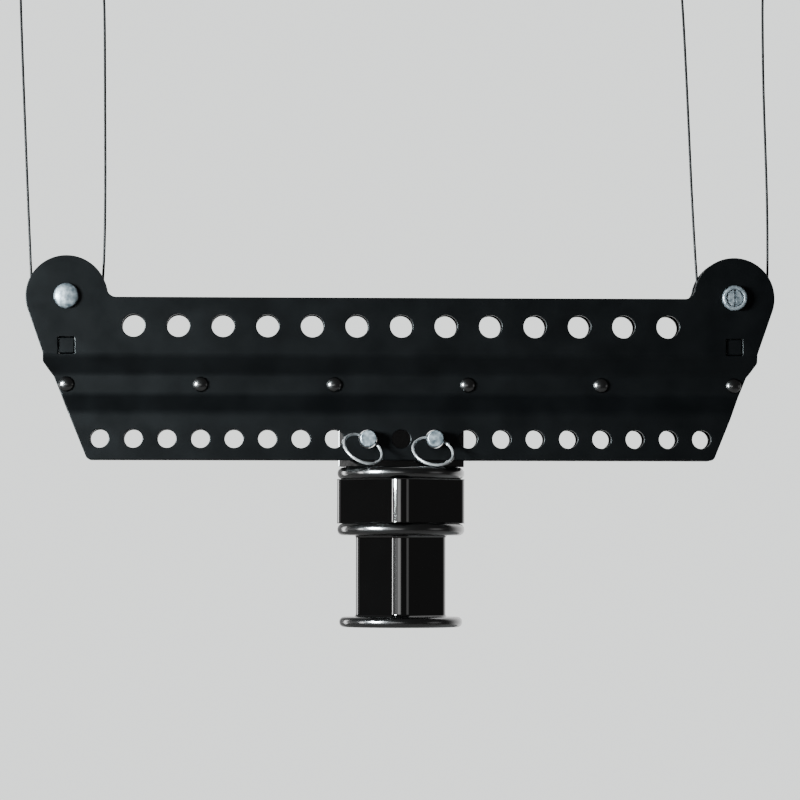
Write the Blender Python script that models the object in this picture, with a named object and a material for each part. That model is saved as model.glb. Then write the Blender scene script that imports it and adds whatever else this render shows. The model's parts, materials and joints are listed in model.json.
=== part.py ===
"""Ceiling mounted pulley rack: a bar of two formed plates that hangs on wire ropes.

Units are metres and +Z is up.  The origin is on the ceiling, above the middle of the bar.
X runs along the bar and -Y is its front.  Heights named "below the axles" are counted down
from the sheave axles.
"""
import bmesh
import bpy
from math import acos, atan2, cos, pi, radians, sin, tau
from mathutils import Matrix, Vector

MM = 0.001
GAP = 0.3 * MM                     # clearance kept between pieces that touch

# Driving dimensions
AXLE_Z = -200.0 * MM               # sheave axles, below the ceiling
AXLE_X = 190.5 * MM                # half of the 15 inch axle spacing
PIVOT_Z = -13.0 * MM               # where the ropes swing, inside the ceiling fittings

# Formed plates
SHEET = 3.0 * MM
HALF_DEPTH = 8.0 * MM              # outer face of the flats, from the middle plane
WAIST_DEPTH = 3.15 * MM            # outer face of the riveted waist
UPPER_BEND = (33.2 * MM, 44.0 * MM)    # below the axles
LOWER_BEND = (55.9 * MM, 66.7 * MM)
BOTTOM_EDGE = 93.0 * MM
TOP_EDGE = 0.4 * MM
LOBE_RADIUS = 23.2 * MM
LOBE_FILLET = 5.5 * MM
SHOULDER = (203.8 * MM, -32.2 * MM)    # end corners: distance from the middle, height from the axles
SHOULDER_LOW = (203.8 * MM, -36.8 * MM)
HIP = (197.8 * MM, -45.3 * MM)
BOTTOM_CORNER = (178.4 * MM, -BOTTOM_EDGE)
UPPER_HOLES = (13, 25.4 * MM, 6.5 * MM, 16.6 * MM)     # count, pitch, radius, below the axles
LOWER_HOLES = (19, 19.05 * MM, 5.3 * MM, 80.9 * MM)
RIVETS = (6, 76.2 * MM, 2.4 * MM, 49.9 * MM)
WINDOW = 9.5 * MM                  # square keeper windows
WINDOW_DROP = 28.0 * MM

# Sheaves and axles
PITCH_RADIUS = 20.2 * MM           # rope centreline on the sheave
SHEAVE_RADIUS = 22.4 * MM
SHEAVE_HALF = 3.7 * MM
BOLT_RADIUS = 4.75 * MM
SLEEVE_RADIUS = 6.5 * MM
BUSH_RADIUS = 8.5 * MM
AXLE_HEAD = 7.15 * MM               # radius of the bolt's head and its round nut
AXLE_HEAD_TALL = 3.9 * MM
AXLE_FACING = {"left": -1, "right": 1}     # which way each bolt's head looks
SLOT_TURN = radians(3)             # screwdriver slot, from upright

# Ropes
ROPE = 1.5 * MM                    # diameter
FITTING_REACH = 23.8 * MM          # rope fittings, either side of their plate's middle
PLATE_SHIFT = {"left": -3.9 * MM, "right": -5.8 * MM}  # plate's middle, from the axle
FALL_HEIGHTS = (160 * MM, 120 * MM, 62 * MM, 27 * MM)  # above the axle
HAUL_FALL = {"left": (-26.9 * MM, -25.3 * MM, -22.75 * MM, -21.1 * MM),    # offsets at those heights
             "right": (-27.9 * MM, -25.95 * MM, -23.4 * MM, -21.55 * MM)}
DEAD_FALL = {"left": (20.6 * MM, 21.05 * MM, 21.45 * MM, 21.1 * MM),
             "right": (17.85 * MM, 18.3 * MM, 19.95 * MM, 20.25 * MM)}

# Hub
BLADE_HALF = 35.8 * MM
BLADE_THICK = 9.4 * MM
BLADE_SCREW_X = 30.0 * MM
PIN_X = 19.05 * MM
PIN_RADIUS = 4.75 * MM
DISC_RADIUS = 36.2 * MM
FLANGE_RADIUS = 35.0 * MM
HUB_LEVELS = (97.1 * MM, 103.7 * MM, 129.0 * MM, 135.7 * MM, 182.0 * MM, 187.9 * MM)
UPPER_SIDE = 55.6 * MM
LOWER_SIDE = 40.4 * MM
BLOCK_CORNER = 7.2 * MM
BLOCK_TURN = radians(-2.8)         # about Z, so the front corner stands left of the middle
HUB_SIDES = 32

# Release pins
PIN_FRONT = -17.0 * MM
PIN_TAIL = 13.6 * MM
RING_Y = -12.6 * MM                # cross hole in the pin
RING_RADIUS = 11.6 * MM
RING_WIRE = 0.9 * MM               # radius of the ring's wire
RING_SAG = 0.5 * MM                # the ring's curve inside the cross hole
RING_LEAN = {"left": radians(51.0), "right": radians(47.5)}    # forward of hanging straight
PIN_ROLL = {"left": radians(28.0), "right": radians(13.0)}

SIDES = {"left": -1, "right": 1}
MATERIALS = {
    "powder_black": ((0.017, 0.018, 0.019), 0.45, 0.0),
    "gloss_black": ((0.008, 0.008, 0.009), 0.16, 0.0),
    "zinc": ((0.62, 0.65, 0.68), 0.32, 1.0),
    "rope_steel": ((0.10, 0.10, 0.105), 0.45, 1.0),
    "sheave_nylon": ((0.05, 0.05, 0.052), 0.5, 0.0),
    "bronze": ((0.52, 0.33, 0.14), 0.4, 1.0),
    "steel": ((0.5, 0.5, 0.5), 0.35, 1.0),
}


def clear_scene():
    for old in list(bpy.data.objects):
        bpy.data.objects.remove(old, do_unlink=True)


def material(slot):
    found = bpy.data.materials.get(slot)
    if found:
        return found
    colour, roughness, metallic = MATERIALS[slot]
    made = bpy.data.materials.new(slot)
    made.use_nodes = True
    shader = made.node_tree.nodes["Principled BSDF"]
    shader.inputs["Base Color"].default_value = (*colour, 1.0)
    shader.inputs["Roughness"].default_value = roughness
    shader.inputs["Metallic"].default_value = metallic
    return made


def add_object(name, bm, slot, at=(0, 0, 0), turn=None):
    """Makes an object from a bmesh; its origin is at the given place."""
    bmesh.ops.recalc_face_normals(bm, faces=bm.faces)
    mesh = bpy.data.meshes.new(name)
    bm.to_mesh(mesh)
    bm.free()
    mesh.shade_smooth()
    mesh.set_sharp_from_angle(angle=radians(35))
    made = bpy.data.objects.new(name, mesh)
    made.data.materials.append(material(slot))
    turned = turn.to_4x4() if turn else Matrix.Identity(4)
    made.matrix_world = Matrix.Translation(at) @ turned
    bpy.context.collection.objects.link(made)
    return made


def cut(target, cutter, operation="DIFFERENCE"):
    cutter.hide_render = True
    cutter.display_type = "WIRE"
    boolean = target.modifiers.new(cutter.name, "BOOLEAN")
    boolean.operation = operation
    boolean.solver = "EXACT"
    boolean.object = cutter


def arc(centre, radius, start, end, steps):
    """Points on an arc, both ends included; angles in radians."""
    return [(centre[0] + radius * cos(start + (end - start) * i / steps),
             centre[1] + radius * sin(start + (end - start) * i / steps)) for i in range(steps + 1)]


def rounded(corners, steps=3):
    """Outline of a polygon whose (x, y, radius) corners are rounded."""
    outline = []
    for i, (x, y, radius) in enumerate(corners):
        here = Vector((x, y))
        back = (Vector(corners[i - 1][:2]) - here).normalized()
        ahead = (Vector(corners[(i + 1) % len(corners)][:2]) - here).normalized()
        if radius == 0:
            outline.append((x, y))
            continue
        half = back.angle(ahead) / 2
        middle = here + (back + ahead).normalized() * (radius / sin(half))
        reach = (middle - here).length * cos(half)
        first = here + back * reach - middle
        last = here + ahead * reach - middle
        start = atan2(first.y, first.x)
        sweep = (atan2(last.y, last.x) - start + pi) % tau - pi
        outline += arc(middle, radius, start, start + sweep, steps)
    return outline


def prism(bm, outline, low, high, axis="Z"):
    """Extrudes an outline along Z, or along Y when the outline is in XZ."""
    def place(point, level):
        return (point[0], point[1], level) if axis == "Z" else (point[0], level, point[1])
    bottom = [bm.verts.new(place(p, low)) for p in outline]
    top = [bm.verts.new(place(p, high)) for p in outline]
    bm.faces.new(bottom)
    bm.faces.new(top[::-1])
    for i in range(len(outline)):
        j = (i + 1) % len(outline)
        bm.faces.new((bottom[i], top[i], top[j], bottom[j]))


def circle(centre, radius, sides):
    return [(centre[0] + radius * cos(tau * (i + 0.5) / sides),
             centre[1] + radius * sin(tau * (i + 0.5) / sides)) for i in range(sides)]


def lathe(bm, profile, sides, axis="Z", closed=False, shift=(0, 0)):
    """Turns (radius, height) points; the ends close on the axis unless the profile is a ring."""
    def place(radius, height, angle):
        x, y = shift[0] + radius * cos(angle), shift[1] + radius * sin(angle)
        return (x, y, height) if axis == "Z" else (x, height, y)
    rings = []
    for radius, height in profile:
        if radius == 0:
            rings.append([bm.verts.new(place(0, height, 0))] * sides)
        else:
            rings.append([bm.verts.new(place(radius, height, tau * i / sides)) for i in range(sides)])
    pairs = list(zip(rings, rings[1:]))
    if closed:
        pairs.append((rings[-1], rings[0]))
    for lower, upper in pairs:
        for i in range(sides):
            j = (i + 1) % sides
            corners = []
            for vert in (lower[i], lower[j], upper[j], upper[i]):
                if vert not in corners:
                    corners.append(vert)
            bm.faces.new(corners)


def turned(name, profile, slot, at, sides=24, axis="Z", closed=False):
    bm = bmesh.new()
    lathe(bm, profile, sides, axis, closed)
    return add_object(name, bm, slot, at)


def tube_ring(name, inner, outer, low, high, slot, at, sides=24, axis="Y"):
    """A plain washer, bush or sleeve."""
    profile = [(inner, low), (outer, low), (outer, high), (inner, high)]
    return turned(name, profile, slot, at, sides, axis, closed=True)


# Formed plates

def plate_outline():
    """The plate's outline in XZ, from the middle of its top edge, clockwise."""
    rise = LOBE_FILLET - TOP_EDGE
    reach = (LOBE_RADIUS + LOBE_FILLET) ** 2 - rise ** 2
    fillet = (AXLE_X - reach ** 0.5, rise)
    to_lobe = atan2(-rise, reach ** 0.5)
    offset = Vector((SHOULDER[0] - AXLE_X, SHOULDER[1]))
    tangent = atan2(offset.y, offset.x) + acos(LOBE_RADIUS / offset.length)
    half = arc(fillet, LOBE_FILLET, -pi / 2, to_lobe, 3)
    half += arc((AXLE_X, 0), LOBE_RADIUS, pi + to_lobe, tangent, 18)
    half += [SHOULDER, SHOULDER_LOW, HIP]
    corner = [(*HIP, 0), (*BOTTOM_CORNER, 3.3 * MM), (0, -BOTTOM_EDGE, 0)]
    half += rounded(corner, 4)[1:-1]
    mirrored = [(-x, z) for x, z in reversed(half)]
    return [(x, z + AXLE_Z) for x, z in half + mirrored]


def plate_section(front):
    """The bent sheet's section in YZ, with mitred bends."""
    outer = [(-HALF_DEPTH, 30 * MM), (-HALF_DEPTH, -UPPER_BEND[0]), (-WAIST_DEPTH, -UPPER_BEND[1]),
             (-WAIST_DEPTH, -LOWER_BEND[0]), (-HALF_DEPTH, -LOWER_BEND[1]), (-HALF_DEPTH, -100 * MM)]
    inner = []
    for i, point in enumerate(outer):
        before = Vector(outer[max(i - 1, 0)])
        here = Vector(point)
        after = Vector(outer[min(i + 1, len(outer) - 1)])
        first = (here - before).normalized() if i else (after - here).normalized()
        second = (after - here).normalized() if i < len(outer) - 1 else first
        normals = [Vector((-first.y, first.x)), Vector((-second.y, second.x))]
        mitre = (normals[0] + normals[1]) / (1 + normals[0].dot(normals[1]))
        inner.append(tuple(here + mitre * SHEET))
    sign = 1 if front else -1
    return [(y * sign, z + AXLE_Z) for y, z in outer + inner[::-1]]


def row(holes):
    """Centres of a row of holes, along X."""
    count, pitch, radius, drop = holes
    return [((i - (count - 1) / 2) * pitch, AXLE_Z - drop) for i in range(count)]


def plate_cutters():
    bm = bmesh.new()
    prism(bm, plate_outline(), -12 * MM, 12 * MM, "Y")
    outline = add_object("plate_outline_cutter", bm, "steel")
    bm = bmesh.new()
    for holes, sides in ((UPPER_HOLES, 12), (LOWER_HOLES, 12), (RIVETS, 8)):
        for centre in row(holes):
            radius = holes[2] + (GAP if holes is RIVETS else 0)
            prism(bm, circle(centre, radius, sides), -20 * MM, 20 * MM, "Y")
    for side in SIDES.values():
        prism(bm, circle((side * AXLE_X, AXLE_Z), BOLT_RADIUS + GAP, 12), -20 * MM, 20 * MM, "Y")
        half = WINDOW / 2
        low = AXLE_Z - WINDOW_DROP - half
        window = [(side * AXLE_X - half, low), (side * AXLE_X + half, low),
                  (side * AXLE_X + half, low + WINDOW), (side * AXLE_X - half, low + WINDOW)]
        prism(bm, window, -20 * MM, 20 * MM, "Y")
    return outline, add_object("plate_hole_cutter", bm, "steel")


def formed_plates():
    outline, holes = plate_cutters()
    for name, front in (("front_plate", True), ("rear_plate", False)):
        section = plate_section(front)
        bm = bmesh.new()
        ends = [[bm.verts.new((x, y, z)) for y, z in section] for x in (-230 * MM, 230 * MM)]
        bm.faces.new(ends[0])
        bm.faces.new(ends[1][::-1])
        for i in range(len(section)):
            j = (i + 1) % len(section)
            bm.faces.new((ends[0][i], ends[1][i], ends[1][j], ends[0][j]))
        plate = add_object(name, bm, "powder_black")
        cut(plate, outline, "INTERSECT")
        cut(plate, holes)


def rivets():
    """Domed rivets that pull the two waists together."""
    radius = RIVETS[2]
    head = 4.4 * MM
    face = WAIST_DEPTH + GAP
    profile = [(0, -face - 2.3 * MM), (3.0 * MM, -face - 1.6 * MM), (head, -face), (radius, -face),
               (radius, face), (head, face), (3.0 * MM, face + 1.6 * MM), (0, face + 2.3 * MM)]
    for number, (x, z) in enumerate(row(RIVETS), 1):
        turned(f"waist_rivet_{number}", profile, "gloss_black", (x, 0, z), 12, "Y")


def rope_keepers():
    """Square bars whose ends sit in the plate windows and keep the rope on its sheave."""
    for side, sign in SIDES.items():
        half = WINDOW / 2 - GAP
        corners = [(-half, -half), (half, -half), (half, half), (-half, half)]
        bm = bmesh.new()
        prism(bm, corners, -HALF_DEPTH + 0.8 * MM, HALF_DEPTH - 0.8 * MM, "Y")
        at = (sign * AXLE_X, 0, AXLE_Z - WINDOW_DROP)
        add_object(f"rope_keeper_{side}", bm, "powder_black", at)


# Sheaves and axles

def sheave(side, at):
    groove = PITCH_RADIUS - ROPE / 2 - GAP
    bore = BUSH_RADIUS + GAP
    profile = [(bore, -SHEAVE_HALF), (SHEAVE_RADIUS - 0.8 * MM, -SHEAVE_HALF), (SHEAVE_RADIUS, -2.1 * MM),
               (groove, -0.9 * MM), (groove, 0.9 * MM), (SHEAVE_RADIUS, 2.1 * MM),
               (SHEAVE_RADIUS - 0.8 * MM, SHEAVE_HALF), (bore, SHEAVE_HALF)]
    turned(f"sheave_{side}", profile, "sheave_nylon", at, 24, "Y", closed=True)
    inner = SLEEVE_RADIUS + GAP
    tube_ring(f"sheave_bush_{side}", inner, BUSH_RADIUS, -SHEAVE_HALF, SHEAVE_HALF, "bronze", at, 16)
    length = HALF_DEPTH - SHEET - GAP
    tube_ring(f"axle_sleeve_{side}", BOLT_RADIUS + GAP, SLEEVE_RADIUS, -length, length, "steel", at, 16)


def thrust_washers(side, at):
    inner = SLEEVE_RADIUS + GAP
    outer = 11.0 * MM
    near, far = SHEAVE_HALF + GAP, HALF_DEPTH - SHEET - GAP
    tube_ring(f"thrust_washer_front_{side}", inner, outer, -far, -near, "bronze", at, 16)
    tube_ring(f"thrust_washer_rear_{side}", inner, outer, near, far, "bronze", at, 16)


def axle_bolt(side, at):
    """A domed bolt and its round nut; the bolt's slotted end stands flush in the nut."""
    facing = AXLE_FACING[side]
    face = HALF_DEPTH + GAP
    end = -(face + AXLE_HEAD_TALL - 0.7 * MM)
    profile = [(0, face + AXLE_HEAD_TALL), (3.6 * MM, face + AXLE_HEAD_TALL - 0.5 * MM),
               (6.2 * MM, face + 2.5 * MM), (AXLE_HEAD, face + MM), (AXLE_HEAD, face), (BOLT_RADIUS, face),
               (BOLT_RADIUS, end), (0, end)]
    bolt = turned(f"axle_bolt_{side}", [(r, facing * y) for r, y in profile], "zinc", at, 16, "Y")
    slot = [(-0.55 * MM, -6 * MM), (0.55 * MM, -6 * MM), (0.55 * MM, 6 * MM), (-0.55 * MM, 6 * MM)]
    bm = bmesh.new()
    depth = 0.9 * MM
    prism(bm, slot, facing * end - depth, facing * end + depth, "Y")
    cut(bolt, add_object(f"axle_slot_{side}", bm, "zinc", at, Matrix.Rotation(SLOT_TURN, 3, "Y")))
    nut = [(BOLT_RADIUS + GAP, face), (AXLE_HEAD, face), (AXLE_HEAD, face + AXLE_HEAD_TALL - MM),
           (AXLE_HEAD - MM, face + AXLE_HEAD_TALL), (BOLT_RADIUS + GAP, face + AXLE_HEAD_TALL)]
    turned(f"axle_nut_{side}", [(r, -facing * y) for r, y in nut], "zinc", at, 16, "Y", closed=True)


# Ropes and ceiling fittings

def smooth_points(points, spacing):
    """Points along a Catmull-Rom curve through the route's own points."""
    route = [Vector(p) for p in points]
    route = [route[0] * 2 - route[1]] + route + [route[-1] * 2 - route[-2]]
    found = []
    for p0, p1, p2, p3 in zip(route, route[1:], route[2:], route[3:]):
        steps = max(1, round((p2 - p1).length / spacing))
        for i in range(steps):
            t = i / steps
            found.append(0.5 * (2 * p1 + (p2 - p0) * t + (2 * p0 - 5 * p1 + 4 * p2 - p3) * t * t
                                + (3 * p1 - p0 - 3 * p2 + p3) * t * t * t))
    return found + [route[-2]]


def rope_route(side):
    """Down the hauling fall, under the sheave and up the dead end, in world coordinates."""
    axle = Vector((SIDES[side] * AXLE_X, 0, AXLE_Z))
    shift = PLATE_SHIFT[side]
    haul = shift - FITTING_REACH
    dead = shift + FITTING_REACH
    height = PIVOT_Z - AXLE_Z
    down = [(haul, height + 4.5 * MM), (haul, height)] + list(zip(HAUL_FALL[side], FALL_HEIGHTS))
    up = list(zip(DEAD_FALL[side], FALL_HEIGHTS))[::-1] + [(dead, height - 9.5 * MM)]
    wrap = arc((0, 0), PITCH_RADIUS, radians(172), radians(368), 12)
    return [axle + Vector((x, 0, z)) for x, z in down + wrap + up]


def rope(side):
    path = smooth_points(rope_route(side), 30 * MM)
    curve = bpy.data.curves.new(f"wire_rope_{side}", "CURVE")
    curve.dimensions = "3D"
    spline = curve.splines.new("POLY")
    spline.points.add(len(path) - 1)
    for point, place in zip(spline.points, path):
        point.co = (*place, 1)
    curve.bevel_depth = ROPE / 2
    curve.bevel_resolution = 2
    curve.use_fill_caps = True
    curve.materials.append(material("rope_steel"))
    bpy.context.collection.objects.link(bpy.data.objects.new(f"wire_rope_{side}", curve))


def ball_terminal(side, x):
    """A swaged ball and shank on the rope's dead end; the rope starts inside the shank's mouth."""
    ball = 3.4 * MM
    profile = [(ball * cos(radians(a)), ball * sin(radians(a))) for a in (-60, -20, 20, 60)]
    shank = [(0, -9.2 * MM), (1.4 * MM, -9.2 * MM), (1.7 * MM, -8.6 * MM)]
    profile = shank + profile + [(0, ball)]
    turned(f"ball_terminal_{side}", profile, "steel", (x, 0, PIVOT_Z), 12)


def ceiling_fittings(side):
    middle = SIDES[side] * AXLE_X + PLATE_SHIFT[side]
    thick = 4.0 * MM
    half = (42 * MM, 24 * MM)
    corners = [(sx * half[0], sy * half[1], 6 * MM) for sx, sy in ((-1, -1), (1, -1), (1, 1), (-1, 1))]
    bm = bmesh.new()
    prism(bm, rounded(corners), -thick, 0)
    plate = add_object(f"ceiling_plate_{side}", bm, "powder_black", (middle, 0, 0))
    neck = 6.2 * MM
    bm = bmesh.new()
    for sign in (-1, 1):
        prism(bm, circle((sign * FITTING_REACH, 0), neck + GAP, 16), -2 * thick, thick)
        for y in (-15 * MM, 15 * MM):
            prism(bm, circle((sign * 34 * MM, y), 2.75 * MM, 10), -2 * thick, thick)
    cut(plate, add_object(f"ceiling_plate_holes_{side}", bm, "steel", (middle, 0, 0)))

    top, shoulder, mouth, body = -0.5 * MM, -thick - GAP, -20.5 * MM, 8.0 * MM
    outside = [(neck, top), (neck, shoulder), (body, shoulder), (body, mouth + 2 * MM), (6.6 * MM, mouth)]
    guide_bore = [(3.8 * MM, mouth), (1.7 * MM, PIVOT_Z - 1.5 * MM), (1.7 * MM, PIVOT_Z + MM), (3 * MM, top)]
    socket_bore = [(4.4 * MM, mouth), (2.7 * MM, PIVOT_Z - 2.6 * MM), (3.8 * MM, PIVOT_Z - 0.6 * MM),
                   (3.9 * MM, top)]
    haul, dead = middle - FITTING_REACH, middle + FITTING_REACH
    turned(f"rope_guide_{side}", outside + guide_bore, "zinc", (haul, 0, 0), 16, closed=True)
    turned(f"rope_socket_{side}", outside + socket_bore, "zinc", (dead, 0, 0), 16, closed=True)
    ball_terminal(side, dead)


# Hub

def bullnose(radius, low, high):
    """The rounded rim of a disc, from its lower face to its upper face."""
    half = (high - low) / 2
    return [(radius - half + half * cos(radians(a)), low + half + half * sin(radians(a)))
            for a in (-90, -45, 0, 45, 90)]


def hub_disc(name, radius, upper, lower, bore):
    low, high = AXLE_Z - lower, AXLE_Z - upper
    profile = [(bore, low)] + bullnose(radius, low, high) + [(bore, high)]
    return turned(name, profile, "gloss_black", (0, 0, 0), HUB_SIDES, closed=True)


def rounded_square(side, corner):
    """A square turned so that one corner points to the front, nearly."""
    diagonal = side / 2 ** 0.5
    corners = [(0, -diagonal, corner), (diagonal, 0, corner), (0, diagonal, corner), (-diagonal, 0, corner)]
    turn = Matrix.Rotation(BLOCK_TURN, 2)
    return [tuple(turn @ Vector(point)) for point in rounded(corners, 4)]


def hub_block(name, side, upper, lower, bore, flare):
    """A square block, with a small fillet where it meets the discs."""
    low, high = AXLE_Z - lower + GAP, AXLE_Z - upper - GAP
    levels = [(low, flare), (low + flare, 0), (high - flare, 0), (high, flare)]
    if flare == 0:
        levels = [(low, 0), (high, 0)]
    bm = bmesh.new()
    loops = []
    for z, grow in levels:
        outline = rounded_square(side + 2 * grow, BLOCK_CORNER + grow)
        loops.append([bm.verts.new((x, y, z)) for x, y in outline])
    bm.faces.new(loops[0])
    bm.faces.new(loops[-1][::-1])
    for lower_loop, upper_loop in zip(loops, loops[1:]):
        for i in range(len(lower_loop)):
            j = (i + 1) % len(lower_loop)
            bm.faces.new((lower_loop[i], lower_loop[j], upper_loop[j], upper_loop[i]))
    block = add_object(name, bm, "gloss_black")
    bm = bmesh.new()
    prism(bm, circle((0, 0), bore, 14), low - 5 * MM, high + 5 * MM)
    cut(block, add_object(f"{name}_bore", bm, "steel"))


def blade():
    """The tongue between the plates that the release pins pass through."""
    bottom = AXLE_Z - HUB_LEVELS[0] + GAP
    top = AXLE_Z - 68.0 * MM
    corners = [(-BLADE_HALF, bottom, 0), (BLADE_HALF, bottom, 0), (BLADE_HALF, top, 4 * MM),
               (-BLADE_HALF, top, 4 * MM)]
    bm = bmesh.new()
    prism(bm, rounded(corners), -BLADE_THICK / 2, BLADE_THICK / 2, "Y")
    made = add_object("hub_blade", bm, "gloss_black")
    bm = bmesh.new()
    for sign in (-1, 1):
        prism(bm, circle((sign * PIN_X, AXLE_Z - LOWER_HOLES[3]), LOWER_HOLES[2], 12), -9 * MM, 9 * MM, "Y")
        hole = circle((sign * BLADE_SCREW_X, 0), 2.5 * MM + GAP, 10)
        prism(bm, hole, bottom - 2 * MM, bottom + 16 * MM)
    cut(made, add_object("hub_blade_holes", bm, "steel"))


def blade_screws():
    """Countersunk screws that hold the blade on the top disc, from below."""
    head = AXLE_Z - HUB_LEVELS[1] + GAP
    shaft = 2.5 * MM
    profile = [(0, head), (4.6 * MM, head), (shaft, head + 2.2 * MM), (shaft, head + 15 * MM),
               (0, head + 15 * MM)]
    for side, sign in SIDES.items():
        turned(f"blade_screw_{side}", profile, "steel", (sign * BLADE_SCREW_X, 0, 0), 10)


def top_disc():
    """The disc under the blade, with a threaded boss below it for the tie bolt."""
    low, high = AXLE_Z - HUB_LEVELS[1], AXLE_Z - HUB_LEVELS[0]
    boss = 9.0 * MM
    profile = [(boss, low - 14 * MM), (boss, low)] + bullnose(DISC_RADIUS, low, high)
    bore = 5.0 * MM + GAP
    profile += [(bore, high), (bore, low - 14 * MM)]
    disc = turned("hub_top_disc", profile, "gloss_black", (0, 0, 0), HUB_SIDES, closed=True)
    bm = bmesh.new()
    cone = [(0, low - MM), (5.9 * MM + GAP, low - MM), (2.5 * MM + GAP, low + 2.4 * MM + GAP),
            (2.5 * MM + GAP, high + 3 * MM), (0, high + 3 * MM)]
    for sign in SIDES.values():
        lathe(bm, cone, 10, shift=(sign * BLADE_SCREW_X, 0))
    cut(disc, add_object("top_disc_screw_holes", bm, "steel"))


def tie_bolt():
    """A countersunk bolt through the hub, flush inside the bottom flange."""
    low = AXLE_Z - HUB_LEVELS[5] + 0.6 * MM
    shaft = 5.0 * MM
    socket = low + 2.6 * MM
    profile = [(0, socket), (2.8 * MM, socket), (3 * MM, low), (8 * MM, low), (shaft, low + 3 * MM),
               (shaft, AXLE_Z - 100 * MM), (0, AXLE_Z - 100 * MM)]
    turned("tie_bolt", profile, "steel", (0, 0, 0), 14)


def bottom_flange():
    low, high = AXLE_Z - HUB_LEVELS[5], AXLE_Z - HUB_LEVELS[4]
    bore = 5.0 * MM + GAP
    sink = 8.7 * MM
    profile = [(sink, low)] + bullnose(FLANGE_RADIUS, low, high)
    profile += [(bore, high), (bore, low + 4.1 * MM), (sink, low + 0.7 * MM)]
    turned("hub_bottom_flange", profile, "gloss_black", (0, 0, 0), HUB_SIDES, closed=True)


def hub():
    blade()
    blade_screws()
    top_disc()
    hub_block("hub_upper_block", UPPER_SIDE, HUB_LEVELS[1], HUB_LEVELS[2], 9.0 * MM + GAP, 0)
    hub_disc("hub_middle_disc", DISC_RADIUS, HUB_LEVELS[2], HUB_LEVELS[3], 5.0 * MM + GAP)
    hub_block("hub_lower_post", LOWER_SIDE, HUB_LEVELS[3], HUB_LEVELS[4], 5.0 * MM + GAP, 1.7 * MM)
    bottom_flange()
    tie_bolt()


# Release pins

def release_pin(side):
    at = (SIDES[side] * PIN_X, 0, AXLE_Z - LOWER_HOLES[3])
    nose = PIN_RADIUS - 1.2 * MM
    profile = [(0, PIN_FRONT), (PIN_RADIUS - 0.7 * MM, PIN_FRONT), (PIN_RADIUS, PIN_FRONT + 0.7 * MM),
               (PIN_RADIUS, PIN_TAIL - 1.6 * MM), (nose, PIN_TAIL), (0, PIN_TAIL)]
    pin = turned(f"release_pin_{side}", profile, "zinc", at, 16, "Y")
    roll = Matrix.Rotation(PIN_ROLL[side], 3, "Y")
    bm = bmesh.new()
    hole = bmesh.ops.create_cone(bm, cap_ends=True, segments=12, radius1=2.0 * MM, radius2=2.0 * MM,
                                 depth=14 * MM)
    bmesh.ops.rotate(bm, verts=hole["verts"], cent=(0, 0, 0), matrix=Matrix.Rotation(pi / 2, 3, "Y"))
    bmesh.ops.translate(bm, verts=hole["verts"], vec=(0, RING_Y, 0))
    ball_y = 10.0 * MM
    pocket = [(0, -1.5 * MM), (1.5 * MM + GAP, -1.5 * MM), (1.5 * MM + GAP, 6 * MM), (0, 6 * MM)]
    lathe(bm, pocket, 12, shift=(0, ball_y))
    cut(pin, add_object(f"release_pin_holes_{side}", bm, "zinc", at, roll))

    out = roll @ Vector((0, 0, 1))
    centre = Vector(at) + Vector((0, ball_y, 0)) + out * (PIN_RADIUS + 0.25 * MM - 1.5 * MM)
    bm = bmesh.new()
    bmesh.ops.create_icosphere(bm, subdivisions=2, radius=1.5 * MM)
    add_object(f"detent_ball_{side}", bm, "steel", centre)
    spring_top = PIN_RADIUS + 0.25 * MM - 3.0 * MM - GAP
    bm = bmesh.new()
    lathe(bm, [(0.7 * MM, -1.2 * MM), (1.3 * MM, -1.2 * MM), (1.3 * MM, spring_top), (0.7 * MM, spring_top)],
          12, closed=True)
    spring_at = Vector(at) + Vector((0, ball_y, 0))
    add_object(f"detent_spring_{side}", bm, "steel", spring_at, roll)


def pull_ring(side):
    """A wire ring through the pin's cross hole that leans on the hub's top disc."""
    roll = Matrix.Rotation(PIN_ROLL[side], 3, "Y")
    hinge = Vector((SIDES[side] * PIN_X, RING_Y, AXLE_Z - LOWER_HOLES[3]))
    lean = RING_LEAN[side]
    across = roll @ Vector((1, 0, 0))
    down = roll @ Vector((0, -sin(lean), -cos(lean)))
    thick = across.cross(down)
    centre = down * (RING_RADIUS - RING_SAG)
    around, tube = 24, 6
    bm = bmesh.new()
    rings = []
    for i in range(around):
        out = across * cos(tau * i / around) + down * sin(tau * i / around)
        spots = [centre + out * (RING_RADIUS + RING_WIRE * cos(tau * j / tube))
                 + thick * RING_WIRE * sin(tau * j / tube) for j in range(tube)]
        rings.append([bm.verts.new(spot) for spot in spots])
    for first, second in zip(rings, rings[1:] + rings[:1]):
        for j in range(tube):
            k = (j + 1) % tube
            bm.faces.new((first[j], second[j], second[k], first[k]))
    add_object(f"pull_ring_{side}", bm, "zinc", hinge)


def build():
    clear_scene()
    formed_plates()
    rivets()
    rope_keepers()
    for side, sign in SIDES.items():
        axle = (sign * AXLE_X, 0, AXLE_Z)
        sheave(side, axle)
        thrust_washers(side, axle)
        axle_bolt(side, axle)
        ceiling_fittings(side)
        rope(side)
        release_pin(side)
        pull_ring(side)
    hub()


build()
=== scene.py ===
import json
from math import acos, atan2, cos, pi, radians, sin, tau

import bmesh
import bpy
from mathutils import Matrix, Vector

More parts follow.
